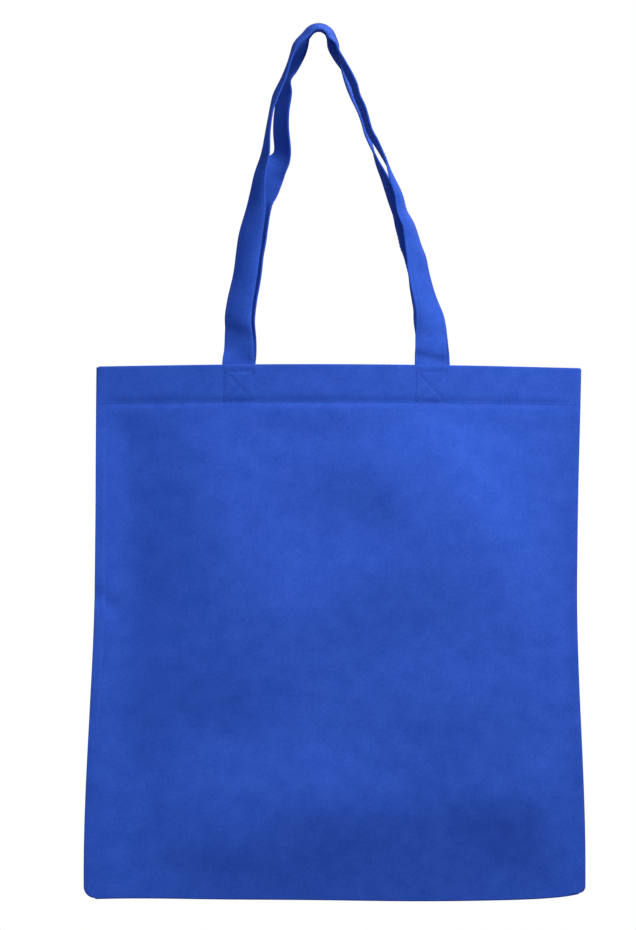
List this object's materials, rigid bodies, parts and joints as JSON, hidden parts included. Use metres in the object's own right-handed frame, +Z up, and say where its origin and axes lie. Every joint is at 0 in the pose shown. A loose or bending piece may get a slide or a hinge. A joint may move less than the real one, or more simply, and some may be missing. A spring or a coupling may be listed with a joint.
{
  "type": "non-woven bag",
  "caption": "Flat tote bag of blue non-woven fabric with a hemmed mouth, sewn side seams and long flat strap handles, hanging as from a peg.",
  "frame": {"origin": "the point that the bag hangs from: the underside of the handles at the top of their loops, midway between the two", "axes": "+Z up, +X to the right seen from the front, the front panel faces -Y"},
  "size_m": [0.394, 0.057, 0.6862],
  "materials": {
    "body_fabric": "royal blue spunbond non-woven, matt, with embossed bond points",
    "handle_fabric": "the same royal blue non-woven, folded in four and sewn",
    "sewing_thread": "royal blue polyester sewing thread"
  },
  "bodies": {
    "root": {"bag_body": "body_fabric", "front_handle": "handle_fabric", "back_handle": "handle_fabric"}
  },
  "joints": []
}
